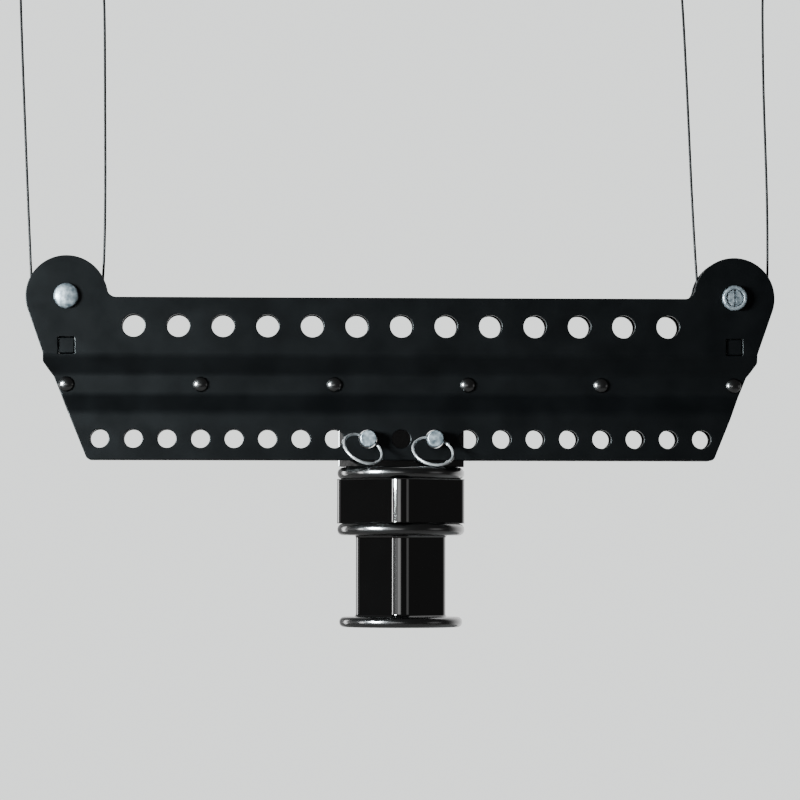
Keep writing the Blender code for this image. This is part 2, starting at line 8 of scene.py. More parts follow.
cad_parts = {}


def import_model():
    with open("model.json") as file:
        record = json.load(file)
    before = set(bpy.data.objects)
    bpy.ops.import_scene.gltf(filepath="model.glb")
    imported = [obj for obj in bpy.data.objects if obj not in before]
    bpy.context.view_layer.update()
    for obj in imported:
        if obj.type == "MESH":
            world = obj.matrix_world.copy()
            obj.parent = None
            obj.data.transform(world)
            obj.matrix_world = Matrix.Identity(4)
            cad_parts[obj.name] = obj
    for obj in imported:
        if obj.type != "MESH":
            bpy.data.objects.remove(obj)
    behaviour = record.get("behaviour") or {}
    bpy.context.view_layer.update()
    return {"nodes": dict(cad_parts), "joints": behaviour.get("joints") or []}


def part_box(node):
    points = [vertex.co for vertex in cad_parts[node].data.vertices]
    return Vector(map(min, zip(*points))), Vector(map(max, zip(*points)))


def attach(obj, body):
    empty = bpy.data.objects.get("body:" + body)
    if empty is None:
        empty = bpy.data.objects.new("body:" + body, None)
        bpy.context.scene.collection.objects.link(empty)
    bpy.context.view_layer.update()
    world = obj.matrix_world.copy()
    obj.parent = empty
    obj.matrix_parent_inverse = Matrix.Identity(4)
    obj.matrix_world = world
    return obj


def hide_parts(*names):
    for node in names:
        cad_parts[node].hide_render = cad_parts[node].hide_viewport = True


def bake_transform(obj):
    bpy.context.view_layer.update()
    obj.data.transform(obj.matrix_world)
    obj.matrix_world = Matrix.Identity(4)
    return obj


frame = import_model()

MM = 0.001
SIDES = {"left": -1, "right": 1}
JOINTS = {joint["name"]: joint for joint in frame["joints"]}
AXLE = {side: Vector(JOINTS[f"sheave_spin_{side}"]["pos_m"]) for side in SIDES}
AXLE_X, AXLE_Z = AXLE["right"].x, AXLE["right"].z
PIVOT_Z = JOINTS["swing"]["pos_m"][2]

# Formed plates; heights are below the axles
SHEET = 3.0 * MM
FLAT_MIDDLE = 6.5 * MM             # the sheet's middle surface in the flats
WAIST_MIDDLE = 1.65 * MM
UPPER_BEND = (33.2 * MM, 44.0 * MM)
LOWER_BEND = (55.9 * MM, 66.7 * MM)
BEND_RADIUS = 4.0 * MM             # length of each bend's rounded stretch
BOTTOM_EDGE = 93.0 * MM
TOP_EDGE = 0.4 * MM
LOBE_RADIUS = 23.2 * MM
LOBE_FILLET = 5.5 * MM
SHOULDER = (203.8 * MM, -32.2 * MM)    # end corners: distance from the middle, height from the axles
SHOULDER_LOW = (203.8 * MM, -36.8 * MM)
HIP = (197.8 * MM, -45.3 * MM)
BOTTOM_CORNER = (178.4 * MM, -BOTTOM_EDGE)
UPPER_HOLES = (13, 25.4 * MM, 6.5 * MM, 16.6 * MM)     # count, pitch, radius, below the axles
LOWER_HOLES = (19, 19.05 * MM, 5.3 * MM, 80.9 * MM)
RIVETS = (6, 76.2 * MM, 2.7 * MM, 49.9 * MM)
WINDOW = 9.5 * MM
WINDOW_DROP = 28.0 * MM
EDGE = 0.45 * MM                   # how far the paint rounds a cut edge
AXLE_FACE = 8.3 * MM               # under the axle heads, from the middle plane
AXLE_HEAD = 7.15 * MM
AXLE_HEAD_TALL = 3.9 * MM
BOLT_END = 3.2 * MM                # how far the slotted end stands through its nut

# Rope and ceiling fittings
ROPE = 1.5 * MM
ROPE_LAY = 7.5 * MM                # length of one turn of its strands
PITCH_RADIUS = 20.2 * MM           # rope centreline on the sheave
FITTING_REACH = 23.8 * MM          # rope fittings, either side of their plate's middle
PLATE_SHIFT = {"left": -3.9 * MM, "right": -5.8 * MM}          # plate's middle, from the axle
FALL_HEIGHTS = (160 * MM, 120 * MM, 62 * MM, 27 * MM)          # above the axle
HAUL_FALL = {"left": (-26.9 * MM, -25.3 * MM, -22.75 * MM, -21.1 * MM),
             "right": (-27.9 * MM, -25.95 * MM, -23.4 * MM, -21.55 * MM)}
DEAD_FALL = {"left": (20.6 * MM, 21.05 * MM, 21.45 * MM, 21.1 * MM),
             "right": (17.85 * MM, 18.3 * MM, 19.95 * MM, 20.25 * MM)}

# Hub; its levels are the faces of its discs, below the axles
HUB_LEVELS = [97.1 * MM, 103.7 * MM, 129.0 * MM, 135.7 * MM, 182.0 * MM, 187.9 * MM]
HUB_BORE = 5.3 * MM
DISC_RADIUS = 36.2 * MM
FLANGE_RADIUS = 35.0 * MM
UPPER_SIDE = 55.6 * MM
LOWER_SIDE = 40.4 * MM
BLOCK_CORNER = 7.2 * MM
BLOCK_TURN = radians(-2.8)
PIN_X = 19.05 * MM
PIN_RADIUS = 4.75 * MM
RING_RADIUS = 11.6 * MM
RING_WIRE = 0.82 * MM              # radius of the ring's wire

# Brightness of the surroundings, from the front round the left (0.25), the back (0.5) and the right (0.75)
WALL = [(0.27, 0.075), (0.29, 0.1), (0.35, 0.12), (0.45, 0.4), (0.49, 1.4), (0.53, 1.8), (0.585, 2.2),
        (0.66, 1.4), (0.70, 0.4), (0.725, 0.075)]


# Materials

def shader_nodes(name):
    made = bpy.data.materials.new(name)
    made.use_nodes = True
    tree = made.node_tree
    return made, tree, tree.nodes["Principled BSDF"]


def noise(tree, scale, detail, stretch=(1, 1, 1)):
    place = tree.nodes.new("ShaderNodeTexCoord")
    mapping = tree.nodes.new("ShaderNodeMapping")
    mapping.inputs["Scale"].default_value = stretch
    texture = tree.nodes.new("ShaderNodeTexNoise")
    texture.inputs["Scale"].default_value = scale
    texture.inputs["Detail"].default_value = detail
    tree.links.new(place.outputs["Object"], mapping.inputs["Vector"])
    tree.links.new(mapping.outputs["Vector"], texture.inputs["Vector"])
    return texture.outputs["Fac"]


def ramp(tree, factor, stops):
    """A colour ramp from (position, value or colour) stops."""
    node = tree.nodes.new("ShaderNodeValToRGB")
    elements = node.color_ramp.elements
    while len(elements) < len(stops):
        elements.new(0.5)
    for element, (position, value) in zip(elements, stops):
        element.position = position
        element.color = (*value, 1) if isinstance(value, tuple) else (value, value, value, 1)
    tree.links.new(factor, node.inputs["Fac"])
    return node.outputs["Color"]


def bump(tree, shader, layers):
    """Stacks (height, strength, distance) layers on the shader's normal."""
    normal = None
    for height, strength, distance in layers:
        node = tree.nodes.new("ShaderNodeBump")
        node.inputs["Strength"].default_value = strength
        node.inputs["Distance"].default_value = distance
        tree.links.new(height, node.inputs["Height"])
        if normal:
            tree.links.new(normal, node.inputs["Normal"])
        normal = node.outputs["Normal"]
    tree.links.new(normal, shader.inputs["Normal"])


def powder_coat():
    made, tree, shader = shader_nodes("satin_black_powder_coat")
    mottle = noise(tree, 60, 5)
    grain = noise(tree, 1500, 2)
    peel = noise(tree, 420, 2)
    dust = noise(tree, 2600, 1)
    base = ramp(tree, mottle, [(0.3, (0.00055, 0.00065, 0.00075)), (0.7, (0.0009, 0.00105, 0.0012))])
    speck = ramp(tree, dust, [(0.76, 0.0), (0.82, 1.0)])
    mix = tree.nodes.new("ShaderNodeMix")
    mix.data_type = "RGBA"
    tree.links.new(speck, mix.inputs["Factor"])
    tree.links.new(base, mix.inputs["A"])
    mix.inputs["B"].default_value = (0.002, 0.002, 0.002, 1)
    tree.links.new(mix.outputs["Result"], shader.inputs["Base Color"])
    tree.links.new(ramp(tree, mottle, [(0.3, 0.32), (0.7, 0.38)]), shader.inputs["Roughness"])
    shader.inputs["Specular IOR Level"].default_value = 0.13
    shader.inputs["Specular Tint"].default_value = (0.92, 0.98, 1.0, 1)
    bump(tree, shader, [(peel, 0.25, 0.00006), (grain, 0.3, 0.00002)])
    return made


def gloss_paint(name, smooth, rough, ior):
    made, tree, shader = shader_nodes(name)
    mottle = noise(tree, 45, 4)
    peel = noise(tree, 260, 2)
    fine = noise(tree, 1800, 2)
    base = ramp(tree, mottle, [(0.3, (0.00012, 0.00012, 0.00012)), (0.7, (0.00022, 0.00022, 0.00022))])
    tree.links.new(base, shader.inputs["Base Color"])
    tree.links.new(ramp(tree, mottle, [(0.3, smooth), (0.7, rough)]), shader.inputs["Roughness"])
    shader.inputs["Specular IOR Level"].default_value = 1.0
    shader.inputs["IOR"].default_value = ior
    bump(tree, shader, [(peel, 0.08, 0.00008), (fine, 0.05, 0.00001)])
    return made


def zinc_plate(name, dark, light):
    made, tree, shader = shader_nodes(name)
    mottle = noise(tree, 420, 4)
    crystals = noise(tree, 2400, 3)
    base = ramp(tree, mottle, [(0.3, dark), (0.7, light)])
    tree.links.new(base, shader.inputs["Base Color"])
    tree.links.new(ramp(tree, mottle, [(0.3, 0.34), (0.7, 0.5)]), shader.inputs["Roughness"])
    shader.inputs["Metallic"].default_value = 0.75
    bump(tree, shader, [(crystals, 0.25, 0.00002)])
    return made


def drawn_wire():
    made, tree, shader = shader_nodes("dark_drawn_wire")
    mottle = noise(tree, 900, 4)
    base = ramp(tree, mottle, [(0.3, (0.0012, 0.0012, 0.0013)), (0.7, (0.0035, 0.0035, 0.0037))])
    tree.links.new(base, shader.inputs["Base Color"])
    tree.links.new(ramp(tree, mottle, [(0.3, 0.36), (0.7, 0.55)]), shader.inputs["Roughness"])
    shader.inputs["Specular IOR Level"].default_value = 0.12
    bump(tree, shader, [(noise(tree, 5000, 2), 0.3, 0.00001)])
    return made


def cast_nylon():
    made, tree, shader = shader_nodes("matte_cast_nylon")
    mottle = noise(tree, 150, 4)
    base = ramp(tree, mottle, [(0.3, (0.022, 0.022, 0.023)), (0.7, (0.034, 0.034, 0.035))])
    tree.links.new(base, shader.inputs["Base Color"])
    tree.links.new(ramp(tree, mottle, [(0.3, 0.42), (0.7, 0.56)]), shader.inputs["Roughness"])
    bump(tree, shader, [(noise(tree, 1300, 3), 0.3, 0.00002)])
    return made


def turned_metal(name, dark, light, rough):
    made, tree, shader = shader_nodes(name)
    mottle = noise(tree, 320, 4)
    marks = noise(tree, 900, 3, (1, 9, 1))
    tree.links.new(ramp(tree, mottle, [(0.3, dark), (0.7, light)]), shader.inputs["Base Color"])
    tree.links.new(ramp(tree, marks, [(0.3, rough - 0.07), (0.7, rough + 0.09)]), shader.inputs["Roughness"])
    shader.inputs["Metallic"].default_value = 1.0
    bump(tree, shader, [(marks, 0.2, 0.00002)])
    return made


POWDER = powder_coat()
GLOSS = gloss_paint("gloss_black_paint", 0.04, 0.06, 1.5)
RIM_GLOSS = gloss_paint("gloss_black_turned_rims", 0.18, 0.23, 1.6)
ZINC = zinc_plate("bright_zinc_plate", (0.07, 0.088, 0.10), (0.235, 0.265, 0.285))
RING_ZINC = zinc_plate("bright_zinc_wire", (0.24, 0.245, 0.25), (0.38, 0.385, 0.39))
WIRE = drawn_wire()
NYLON = cast_nylon()
BRONZE = turned_metal("sintered_bronze", (0.42, 0.26, 0.11), (0.56, 0.37, 0.17), 0.42)
STEEL = turned_metal("machined_steel", (0.40, 0.40, 0.41), (0.56, 0.56, 0.57), 0.33)


# Mesh tools

def piece(name, bm, material, body, *nodes, smooth=40):
    """Makes a finished piece from a bmesh in world coordinates; it rides on a body, unless that is None."""
    bmesh.ops.recalc_face_normals(bm, faces=bm.faces)
    mesh = bpy.data.meshes.new(name)
    bm.to_mesh(mesh)
    bm.free()
    mesh.shade_smooth()
    mesh.set_sharp_from_angle(angle=radians(smooth))
    made = bpy.data.objects.new(name, mesh)
    bpy.context.collection.objects.link(made)
    made.data.materials.append(material)
    if body:
        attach(made, body)
    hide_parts(*nodes)
    return made


def even_normals(made):
    """Lets the large flat faces set the shading beside narrow rounded edges."""
    weighted = made.modifiers.new("even_normals", "WEIGHTED_NORMAL")
    weighted.weight = 80
    weighted.keep_sharp = True


def arc(centre, radius, start, end, steps):
    return [(centre[0] + radius * cos(start + (end - start) * i / steps),
             centre[1] + radius * sin(start + (end - start) * i / steps)) for i in range(steps + 1)]


def rounded(corners, steps=8, closed=True):
    """A polygon or line of (x, y, radius) corners, with each corner rounded."""
    outline = []
    count = len(corners)
    for i, (x, y, radius) in enumerate(corners):
        here = Vector((x, y))
        if radius <= 0 or (not closed and i in (0, count - 1)):
            outline.append((x, y))
            continue
        back = Vector(corners[i - 1][:2]) - here
        ahead = Vector(corners[(i + 1) % count][:2]) - here
        half = back.angle(ahead) / 2
        if half > pi / 2 - 0.02:
            outline.append((x, y))
            continue
        reach = min(radius * cos(half) / sin(half), back.length * 0.49, ahead.length * 0.49)
        fit = reach * sin(half) / cos(half)
        middle = here + (back.normalized() + ahead.normalized()).normalized() * (fit / sin(half))
        first = here + back.normalized() * reach - middle
        last = here + ahead.normalized() * reach - middle
        start = atan2(first.y, first.x)
        sweep = (atan2(last.y, last.x) - start + pi) % tau - pi
        outline += arc(middle, fit, start, start + sweep, steps)
    return outline


def lathe(bm, profile, sides, axis="Z", at=(0, 0, 0), closed=False):
    """Turns (radius, height) points about an axis through a place."""
    def place(radius, height, angle):
        x, y = radius * cos(angle), radius * sin(angle)
        spot = (x, y, height) if axis == "Z" else (x, height, y)
        return Vector(spot) + Vector(at)
    rings = []
    for radius, height in profile:
        if radius <= 1e-7:
            rings.append([bm.verts.new(place(0, height, 0))] * sides)
        else:
            rings.append([bm.verts.new(place(radius, height, tau * i / sides)) for i in range(sides)])
    pairs = list(zip(rings, rings[1:]))
    if closed:
        pairs.append((rings[-1], rings[0]))
    for lower, upper in pairs:
        for i in range(sides):
            j = (i + 1) % sides
            corners = []
            for vert in (lower[i], lower[j], upper[j], upper[i]):
                if vert not in corners:
                    corners.append(vert)
            if len(corners) > 2:
                bm.faces.new(corners)


def turned(name, corners, material, body, nodes, at=(0, 0, 0), sides=64, axis="Z", closed=False, steps=4):
    """A turned piece whose (radius, height, rounding) corners are softened."""
    profile = rounded(corners, steps, closed)
    bm = bmesh.new()
    lathe(bm, profile, sides, axis, at, closed)
    made = piece(name, bm, material, body, *nodes)
    even_normals(made)
    return made


def offset_loop(loop, distance):
    """Moves a closed counter-clockwise loop outwards, or inwards for a negative distance."""
    moved = []
    for i, point in enumerate(loop):
        here = Vector(point)
        first = (here - Vector(loop[i - 1])).normalized()
        second = (Vector(loop[(i + 1) % len(loop)]) - here).normalized()
        normals = Vector((first.y, -first.x)), Vector((second.y, -second.x))
        moved.append(tuple(here + (normals[0] + normals[1]) * distance / (1 + normals[0].dot(normals[1]))))
    return moved


def rectangle(x, y, half_wide, half_tall, rounding):
    """The (x, y, radius) corners of a rectangle about a middle, counter-clockwise."""
    return [(x + a * half_wide, y + b * half_tall, rounding) for a, b in ((-1, -1), (1, -1), (1, 1), (-1, 1))]


def circle(centre, radius, sides):
    return [(centre[0] + radius * cos(tau * i / sides), centre[1] + radius * sin(tau * i / sides))
            for i in range(sides)]


def soft_sheet(outer, holes, half, edge, axis="Y", steps=3):
    """A flat sheet with holes whose cut edges are rounded, as a closed bmesh about its middle plane."""
    def place(point, level):
        return (point[0], level, point[1]) if axis == "Y" else (point[0], point[1], level)
    bm = bmesh.new()
    rims = {-1: [], 1: []}
    for loop, inward in [(outer, -1)] + [(hole, 1) for hole in holes]:
        rings = []
        for end in (-1, 1):
            turns = [radians(90 * i / steps) for i in range(steps + 1)]
            for turn in turns if end < 0 else turns[::-1]:
                shift = edge * (1 - sin(turn)) * inward
                level = end * (half - edge + edge * cos(turn))
                rings.append([bm.verts.new(place(p, level)) for p in offset_loop(loop, shift)])
        for lower, upper in zip(rings, rings[1:]):
            for i in range(len(loop)):
                j = (i + 1) % len(loop)
                bm.faces.new((lower[i], lower[j], upper[j], upper[i]))
        rims[-1].append(rings[0])
        rims[1].append(rings[-1])
    for ring_set in rims.values():
        edges = []
        for ring in ring_set:
            for i in range(len(ring)):
                edges.append(bm.edges.get((ring[i], ring[(i + 1) % len(ring)])))
        bmesh.ops.triangle_fill(bm, use_beauty=True, use_dissolve=False, edges=edges)
    return bm


def tube(bm, path, radius_at, sides, twist=0.0):
    """Sweeps a section along a path; radius_at(angle, distance) shapes it."""
    points = [Vector(p) for p in path]
    before = (points[1] - points[0]).normalized()
    across = before.orthogonal().normalized()
    rings, travelled = [], 0.0
    for i, point in enumerate(points):
        ahead = (points[min(i + 1, len(points) - 1)] - points[max(i - 1, 0)]).normalized()
        across = (before.rotation_difference(ahead) @ across).normalized()
        before = ahead
        if i:
            travelled += (point - points[i - 1]).length
        side = ahead.cross(across)
        turn = twist * travelled
        ring = []
        for k in range(sides):
            angle = tau * k / sides
            radius = radius_at(angle, travelled)
            out = across * cos(angle + turn) + side * sin(angle + turn)
            ring.append(bm.verts.new(point + out * radius))
        rings.append(ring)
    for lower, upper in zip(rings, rings[1:]):
        for k in range(sides):
            n = (k + 1) % sides
            bm.faces.new((lower[k], lower[n], upper[n], upper[k]))
    bm.faces.new(rings[0])
    bm.faces.new(rings[-1])


# Formed plates

def plate_outline():
    """The plate's outline in XZ, counter-clockwise, with the axles at height 0."""
    rise = LOBE_FILLET - TOP_EDGE
    reach = ((LOBE_RADIUS + LOBE_FILLET) ** 2 - rise ** 2) ** 0.5
    fillet = (AXLE_X - reach, rise)
    to_lobe = atan2(-rise, reach)
    offset = Vector((SHOULDER[0] - AXLE_X, SHOULDER[1]))
    tangent = atan2(offset.y, offset.x) + acos(LOBE_RADIUS / offset.length)
    half = arc(fillet, LOBE_FILLET, -pi / 2, to_lobe, 12)
    half += arc((AXLE_X, 0), LOBE_RADIUS, pi + to_lobe, tangent, 64)
    side = [(*half[-1], 0), (*SHOULDER, 2 * MM), (*SHOULDER_LOW, 2 * MM), (*HIP, 4 * MM),
            (*BOTTOM_CORNER, 3.3 * MM), (0, -BOTTOM_EDGE, 0)]
    half += rounded(side, 6, closed=False)[1:-1]
    mirrored = [(-x, z) for x, z in reversed(half)]
    return (half + mirrored)[::-1]


def row(holes):
    """The centres of a row of holes, with the axles at height 0."""
    count, pitch, _, drop = holes
    return [((i - (count - 1) / 2) * pitch, -drop) for i in range(count)]


def smooth_step(value, low, high):
    """A ramp from 0 to 1 with rounded ends of BEND_RADIUS each."""
    span = high - low
    ease = BEND_RADIUS / 2
    slope = 1 / span
    if value <= low - ease:
        return 0.0
    if value < low + ease:
        return slope * (value - low + ease) ** 2 / (4 * ease)
    if value <= high - ease:
        return slope * (value - low)
    if value < high + ease:
        return 1 - slope * (high + ease - value) ** 2 / (4 * ease)
    return 1.0


def sheet_middle(drop):
    """How far the sheet's middle surface stands from the bar's middle plane."""
    pinch = smooth_step(drop, *UPPER_BEND) - smooth_step(drop, *LOWER_BEND)
    return FLAT_MIDDLE - (FLAT_MIDDLE - WAIST_MIDDLE) * pinch


def formed_plate(name, facing):
    outer = plate_outline()
    holes = [circle(c, UPPER_HOLES[2], 56) for c in row(UPPER_HOLES)]
    holes += [circle(c, LOWER_HOLES[2], 48) for c in row(LOWER_HOLES)]
    holes += [circle(c, RIVETS[2], 24) for c in row(RIVETS)]
    for sign in SIDES.values():
        holes.append(circle((sign * AXLE_X, 0), PIN_RADIUS + 0.3 * MM, 32))
        corners = rectangle(sign * AXLE_X, -WINDOW_DROP, WINDOW / 2, WINDOW / 2, 0.7 * MM)
        holes.append(rounded(corners, 4))
    bm = soft_sheet(outer, holes, SHEET / 2, EDGE)
    for bend in UPPER_BEND + LOWER_BEND:
        for i in range(7):
            level = -bend + BEND_RADIUS * (i / 6 - 0.5)
            everything = bm.verts[:] + bm.edges[:] + bm.faces[:]
            bmesh.ops.bisect_plane(bm, geom=everything, dist=1e-7, plane_co=(0, 0, level), plane_no=(0, 0, 1))
    probe = 0.01 * MM
    for vert in bm.verts:
        drop = -vert.co.z
        middle = sheet_middle(drop)
        slope = (sheet_middle(drop + probe) - sheet_middle(drop - probe)) / (2 * probe)
        normal = Vector((1, slope)).normalized()
        out = vert.co.y * facing
        vert.co = (vert.co.x, facing * (middle + normal.x * out), vert.co.z + AXLE_Z + normal.y * out)
    made = piece(f"{name}_sheet", bm, POWDER, "rack", name, smooth=35)
    even_normals(made)


def rivets():
    face = WAIST_MIDDLE + SHEET / 2 + 0.02 * MM
    radius = RIVETS[2] - 0.3 * MM
    head, tall = 4.4 * MM, 2.5 * MM
    dome = [(head * sin(radians(a)), face + tall * cos(radians(a)) ** 0.9, 0) for a in range(0, 90, 9)]
    rim = [(head, face + 0.25 * MM, 0.2 * MM), (head - 0.1 * MM, face, 0), (radius, face, 0)]
    upper = dome + rim
    profile = [(r, -y, s) for r, y, s in upper] + [(r, y, s) for r, y, s in reversed(upper)]
    for number, (x, z) in enumerate(row(RIVETS), 1):
        turned(f"domed_rivet_{number}", profile, RIM_GLOSS, "rack", [f"waist_rivet_{number}"],
               (x, 0, z + AXLE_Z), 40, "Y", steps=3)


def rope_keepers():
    for side, sign in SIDES.items():
        half = WINDOW / 2 - 0.3 * MM
        low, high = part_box(f"rope_keeper_{side}")
        corners = rectangle(sign * AXLE_X, AXLE_Z - WINDOW_DROP, half, half, 0.8 * MM)
        bm = soft_sheet(rounded(corners, 5), [], (high.y - low.y) / 2 - 0.5 * MM, 0.5 * MM)
        made = piece(f"keeper_bar_{side}", bm, POWDER, "rack", f"rope_keeper_{side}")
        even_normals(made)


# Sheaves and axles

def sheaves():
    for side in SIDES:
        body = f"sheave_{side}"
        low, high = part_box(body)
        half, rim = (high.y - low.y) / 2, (high.x - low.x) / 2
        bore = 8.3 * MM
        groove = PITCH_RADIUS - 0.15 * MM
        sweep = arc((groove, 0), 0.9 * MM, radians(-120), radians(-240), 8)
        hollow = [(r, y, 0) for r, y in sweep]
        profile = [(bore, -half, 0.4 * MM), (12 * MM, -half, 0.5 * MM), (13 * MM, -half + MM, 0.5 * MM),
                   (17 * MM, -half + MM, 0.5 * MM), (18 * MM, -half, 0.5 * MM),
                   (rim, -half, 0.6 * MM), (rim, -2.1 * MM, 0.4 * MM)] + hollow
        profile += [(rim, 2.1 * MM, 0.4 * MM), (rim, half, 0.6 * MM), (18 * MM, half, 0.5 * MM),
                    (17 * MM, half - MM, 0.5 * MM), (13 * MM, half - MM, 0.5 * MM),
                    (12 * MM, half, 0.5 * MM), (bore, half, 0.4 * MM)]
        turned(f"grooved_wheel_{side}", profile, NYLON, body, [body], AXLE[side], 96, "Y", True)
        bush = [(6.3 * MM, -half, 0.3 * MM), (bore - 0.3 * MM, -half, 0.3 * MM),
                (bore - 0.3 * MM, half, 0.3 * MM), (6.3 * MM, half, 0.3 * MM)]
        turned(f"bronze_bush_{side}", bush, BRONZE, body, [f"sheave_bush_{side}"], AXLE[side], 64, "Y", True)


def axles():
    """Domed axle bolts, whose slotted ends stand flush in round nuts. The two are fitted opposite ways."""
    for side, sign in SIDES.items():
        facing = -1 if sign < 0 else 1      # where the head is
        face, end = facing * AXLE_FACE, -facing * (AXLE_FACE + BOLT_END)
        brim = 1.1 * MM
        dome = []
        for degrees in range(0, 88, 8):
            turn = radians(degrees)
            height = AXLE_FACE + brim + (AXLE_HEAD_TALL - brim) * cos(turn) ** 0.8
            dome.append((AXLE_HEAD * sin(turn) ** 0.92, facing * height, 0))
        body = [(AXLE_HEAD, face + facing * MM, 0.2 * MM), (AXLE_HEAD, face, 0.3 * MM), (PIN_RADIUS, face, 0),
                (PIN_RADIUS, end, 0.5 * MM), (0, end, 0)]
        bolt = turned(f"domed_axle_{side}", dome + body, ZINC, "rack", [f"axle_bolt_{side}"],
                      AXLE[side], 72, "Y")
        slot_cut(bolt, side, end)
        inner, top = PIN_RADIUS + 0.25 * MM, -facing * (AXLE_FACE + AXLE_HEAD_TALL)
        nut = [(inner, -face, 0.2 * MM), (AXLE_HEAD, -face, 0.3 * MM), (AXLE_HEAD, top, 1.0 * MM),
               (inner, top, 0.4 * MM)]
        turned(f"round_nut_{side}", nut, ZINC, "rack", [f"axle_nut_{side}"], AXLE[side], 72, "Y", True)


def slot_cut(bolt, side, end):
    """Cuts the screwdriver slot across the bolt's end."""
    middle = Matrix.Translation(AXLE[side] + Vector((0, end, 0)))
    bm = bmesh.new()
    bmesh.ops.create_cube(bm, size=1, matrix=middle @ Matrix.Diagonal((1.1 * MM, 1.8 * MM, 12 * MM, 1)))
    bake_cut(bolt, bm)


def bake_cut(target, bm):
    """Cuts a mesh with a bmesh for good, before the target's other modifiers."""
    tool = bpy.data.meshes.new("cutter")
    bm.to_mesh(tool)
    bm.free()
    cutter = bpy.data.objects.new("cutter", tool)
    bpy.context.collection.objects.link(cutter)
    cut = target.modifiers.new("cut", "BOOLEAN")
    cut.solver = "EXACT"
    cut.object = cutter
    others = [modifier for modifier in target.modifiers if modifier != cut]
    target.modifiers.move(len(others), 0)
    for modifier in others:
        modifier.show_viewport = False
    view = bpy.context.evaluated_depsgraph_get()
    mesh = bpy.data.meshes.new_from_object(target.evaluated_get(view))
    target.modifiers.remove(target.modifiers["cut"])
    for modifier in target.modifiers:
        modifier.show_viewport = True
    target.data = mesh
    mesh.set_sharp_from_angle(angle=radians(40))
    bpy.data.objects.remove(cutter)


# Ropes and ceiling fittings

def smooth_points(points, spacing):
    """Points along a Catmull-Rom curve through the route's own points."""
    route = [Vector(p) for p in points]
    route = [route[0] * 2 - route[1]] + route + [route[-1] * 2 - route[-2]]
    found = []
    for p0, p1, p2, p3 in zip(route, route[1:], route[2:], route[3:]):
        steps = max(1, round((p2 - p1).length / spacing))
        for i in range(steps):
            t = i / steps
            found.append(0.5 * (2 * p1 + (p2 - p0) * t + (2 * p0 - 5 * p1 + 4 * p2 - p3) * t * t
                                + (3 * p1 - p0 - 3 * p2 + p3) * t * t * t))
    return found + [route[-2]]


def rope_route(side):
    """Down the hauling fall, under the sheave and up the dead end."""
    shift = PLATE_SHIFT[side]
    haul = shift - FITTING_REACH
    dead = shift + FITTING_REACH
    height = PIVOT_Z - AXLE_Z
    down = [(haul, height + 4.5 * MM), (haul, height)] + list(zip(HAUL_FALL[side], FALL_HEIGHTS))
    up = list(zip(DEAD_FALL[side], FALL_HEIGHTS))[::-1] + [(dead, height - 9.5 * MM)]
    wrap = arc((0, 0), PITCH_RADIUS, radians(172), radians(368), 12)
    return [AXLE[side] + Vector((x, 0, z)) for x, z in down + wrap + up]


def ropes():
    for side in SIDES:
        path = smooth_points(rope_route(side), 0.45 * MM)
        bm = bmesh.new()
        tube(bm, path, lambda angle, distance: ROPE / 2 * (0.92 + 0.08 * abs(cos(3 * angle))), 18,
             tau / ROPE_LAY)
        made = piece(f"stranded_rope_{side}", bm, WIRE, None, f"wire_rope_{side}", smooth=80)
        terminal = ball_terminal(side)
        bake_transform(made)


def ball_terminal(side):
    x = AXLE[side].x + PLATE_SHIFT[side] + FITTING_REACH
    ball = 3.4 * MM
    sphere = [(ball * cos(radians(a)), ball * sin(radians(a)), 0) for a in range(-60, 90, 6)]
    shank = [(0.77 * MM, -9.2 * MM, 0), (1.4 * MM, -9.2 * MM, 0.3 * MM), (1.7 * MM, -8.6 * MM, 0.3 * MM)]
    profile = [(0, -9.0 * MM, 0)] + shank + sphere + [(0, ball, 0)]
    return turned(f"swaged_ball_{side}", profile, STEEL, "suspension", [f"ball_terminal_{side}"],
                  (x, 0, PIVOT_Z), 48, steps=3)


def ceiling_fittings():
    for side in SIDES:
        middle = AXLE[side].x + PLATE_SHIFT[side]
        thick, neck = 4.0 * MM, 6.2 * MM
        corners = rectangle(middle, 0, 42 * MM, 24 * MM, 6 * MM)
        holes = []
        for sign in (-1, 1):
            holes.append(circle((middle + sign * FITTING_REACH, 0), neck + 0.3 * MM, 48))
            holes += [circle((middle + sign * 34 * MM, y), 2.75 * MM, 32) for y in (-15 * MM, 15 * MM)]
        bm = soft_sheet(rounded(corners, 10), holes, thick / 2, 0.5 * MM, "Z")
        bmesh.ops.translate(bm, vec=(0, 0, -thick / 2), verts=bm.verts)
        even_normals(piece(f"anchor_plate_{side}", bm, POWDER, "ceiling", f"ceiling_plate_{side}"))

        top, shoulder, mouth, body = -0.5 * MM, -thick - 0.3 * MM, -20.5 * MM, 8.0 * MM
        outside = [(neck, top, 0.3 * MM), (neck, shoulder, 0), (body, shoulder, 0.5 * MM),
                   (body, mouth + 2 * MM, 0.8 * MM), (6.6 * MM, mouth, 0.8 * MM)]
        guide = [(3.8 * MM, mouth, 1.2 * MM), (1.7 * MM, PIVOT_Z - 1.5 * MM, 2 * MM),
                 (1.7 * MM, PIVOT_Z + MM, 2 * MM), (3 * MM, top, 0.4 * MM)]
        socket = [(4.4 * MM, mouth, 0.5 * MM), (2.7 * MM, PIVOT_Z - 2.6 * MM, 0.3 * MM),
                  (3.8 * MM, PIVOT_Z - 0.6 * MM, 1 * MM), (3.9 * MM, top, 0.3 * MM)]
        turned(f"flared_guide_{side}", outside + guide, ZINC, "ceiling", [f"rope_guide_{side}"],
               (middle - FITTING_REACH, 0, 0), 72, closed=True)
        turned(f"ball_socket_{side}", outside + socket, ZINC, "ceiling", [f"rope_socket_{side}"],
               (middle + FITTING_REACH, 0, 0), 72, closed=True)


# Hub

